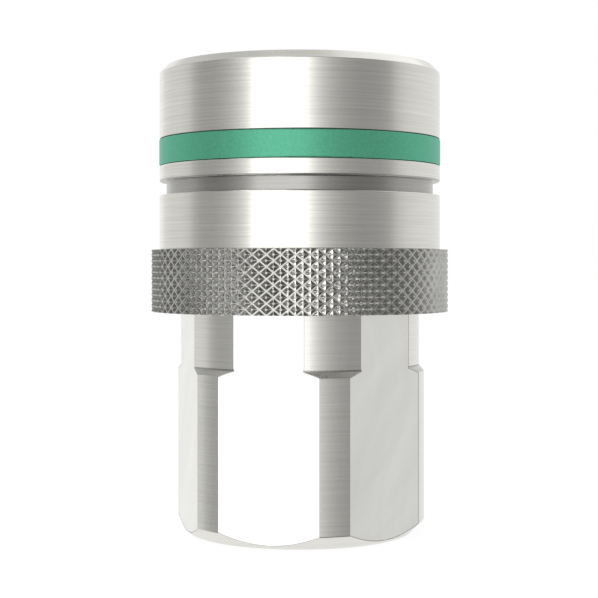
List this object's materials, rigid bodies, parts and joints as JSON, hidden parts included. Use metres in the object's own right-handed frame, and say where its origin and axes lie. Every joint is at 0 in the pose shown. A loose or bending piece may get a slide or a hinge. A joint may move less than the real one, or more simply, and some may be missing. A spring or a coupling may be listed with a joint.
{
  "type": "non-drip coupling",
  "caption": "Upright flat-face quick coupling half: hexagon body with a threaded port, spring-loaded release sleeve with knurled grip and colour ring, ball lock and shut-off valve.",
  "frame": {"origin": "centre of the port face that the coupling stands on", "axes": "+Z along the flow axis towards the mating face; one wrench flat faces -Y"},
  "size_m": [0.0532, 0.0532, 0.0829],
  "materials": {
    "sleeve_steel": "turned and circumferentially brushed",
    "body_steel": "turned, with milled flats",
    "barrel_steel": "turned",
    "knurl_steel": "cut knurl",
    "ring_green": "satin moulded",
    "spring_steel": "drawn wire and stamped ring",
    "valve_steel": "fine turned",
    "ball_steel": "polished",
    "seal_rubber": "smooth",
    "backup_plastic": "machined"
  },
  "bodies": {
    "root": {"hex_body": "body_steel", "socket_barrel": "barrel_steel", "stop_ring": "spring_steel", "valve_stem": "valve_steel", "stem_spider": "valve_steel", "stem_nut": "valve_steel", "head_seal": "seal_rubber", "plug_seal": "seal_rubber", "backup_ring": "backup_plastic", "body_seal": "seal_rubber", "shutter_spring": "spring_steel"},
    "sleeve_carrier": {"sleeve_spring": "spring_steel"},
    "sleeve": {"release_sleeve": "sleeve_steel", "knurled_ring": "knurl_steel", "colour_ring": "ring_green"},
    "shutter": {"shutter": "valve_steel"},
    "locking_ball_01": {"locking_ball_01": "ball_steel"},
    "locking_ball_02": {"locking_ball_02": "ball_steel"},
    "locking_ball_03": {"locking_ball_03": "ball_steel"},
    "locking_ball_04": {"locking_ball_04": "ball_steel"},
    "locking_ball_05": {"locking_ball_05": "ball_steel"},
    "locking_ball_06": {"locking_ball_06": "ball_steel"},
    "locking_ball_07": {"locking_ball_07": "ball_steel"},
    "locking_ball_08": {"locking_ball_08": "ball_steel"},
    "locking_ball_09": {"locking_ball_09": "ball_steel"},
    "locking_ball_10": {"locking_ball_10": "ball_steel"},
    "locking_ball_11": {"locking_ball_11": "ball_steel"},
    "locking_ball_12": {"locking_ball_12": "ball_steel"}
  },
  "joints": [
    {"name": "sleeve_turn", "type": "hinge", "parent": "root", "child": "sleeve_carrier", "pos_m": [0, 0, 0.06], "axis": [0, 0, 1], "continuous": true},
    {"name": "sleeve_slide", "type": "slide", "parent": "sleeve_carrier", "child": "sleeve", "axis": [0, 0, -1], "range_m": [0, 0.006], "stiffness_N_per_m": 2500, "springref_m": -0.004, "deforming": ["sleeve_spring"]},
    {"name": "shutter_slide", "type": "slide", "parent": "root", "child": "shutter", "axis": [0, 0, -1], "range_m": [0, 0.011], "stiffness_N_per_m": 1200, "springref_m": -0.006, "deforming": ["shutter_spring"]},
    {"name": "ball_01_slide", "type": "slide", "parent": "root", "child": "locking_ball_01", "axis": [0.9659, 0.2588, 0], "range_m": [0, 0.0014]},
    {"name": "ball_02_slide", "type": "slide", "parent": "root", "child": "locking_ball_02", "axis": [0.7071, 0.7071, 0], "range_m": [0, 0.0014]},
    {"name": "ball_03_slide", "type": "slide", "parent": "root", "child": "locking_ball_03", "axis": [0.2588, 0.9659, 0], "range_m": [0, 0.0014]},
    {"name": "ball_04_slide", "type": "slide", "parent": "root", "child": "locking_ball_04", "axis": [-0.2588, 0.9659, 0], "range_m": [0, 0.0014]},
    {"name": "ball_05_slide", "type": "slide", "parent": "root", "child": "locking_ball_05", "axis": [-0.7071, 0.7071, 0], "range_m": [0, 0.0014]},
    {"name": "ball_06_slide", "type": "slide", "parent": "root", "child": "locking_ball_06", "axis": [-0.9659, 0.2588, 0], "range_m": [0, 0.0014]},
    {"name": "ball_07_slide", "type": "slide", "parent": "root", "child": "locking_ball_07", "axis": [-0.9659, -0.2588, 0], "range_m": [0, 0.0014]},
    {"name": "ball_08_slide", "type": "slide", "parent": "root", "child": "locking_ball_08", "axis": [-0.7071, -0.7071, 0], "range_m": [0, 0.0014]},
    {"name": "ball_09_slide", "type": "slide", "parent": "root", "child": "locking_ball_09", "axis": [-0.2588, -0.9659, 0], "range_m": [0, 0.0014]},
    {"name": "ball_10_slide", "type": "slide", "parent": "root", "child": "locking_ball_10", "axis": [0.2588, -0.9659, 0], "range_m": [0, 0.0014]},
    {"name": "ball_11_slide", "type": "slide", "parent": "root", "child": "locking_ball_11", "axis": [0.7071, -0.7071, 0], "range_m": [0, 0.0014]},
    {"name": "ball_12_slide", "type": "slide", "parent": "root", "child": "locking_ball_12", "axis": [0.9659, -0.2588, 0], "range_m": [0, 0.0014]}
  ],
  "couplings": [
    {"joint": "ball_01_slide", "follows": "sleeve_slide", "ratio": 0.225},
    {"joint": "ball_02_slide", "follows": "sleeve_slide", "ratio": 0.225},
    {"joint": "ball_03_slide", "follows": "sleeve_slide", "ratio": 0.225},
    {"joint": "ball_04_slide", "follows": "sleeve_slide", "ratio": 0.225},
    {"joint": "ball_05_slide", "follows": "sleeve_slide", "ratio": 0.225},
    {"joint": "ball_06_slide", "follows": "sleeve_slide", "ratio": 0.225},
    {"joint": "ball_07_slide", "follows": "sleeve_slide", "ratio": 0.225},
    {"joint": "ball_08_slide", "follows": "sleeve_slide", "ratio": 0.225},
    {"joint": "ball_09_slide", "follows": "sleeve_slide", "ratio": 0.225},
    {"joint": "ball_10_slide", "follows": "sleeve_slide", "ratio": 0.225},
    {"joint": "ball_11_slide", "follows": "sleeve_slide", "ratio": 0.225},
    {"joint": "ball_12_slide", "follows": "sleeve_slide", "ratio": 0.225}
  ]
}
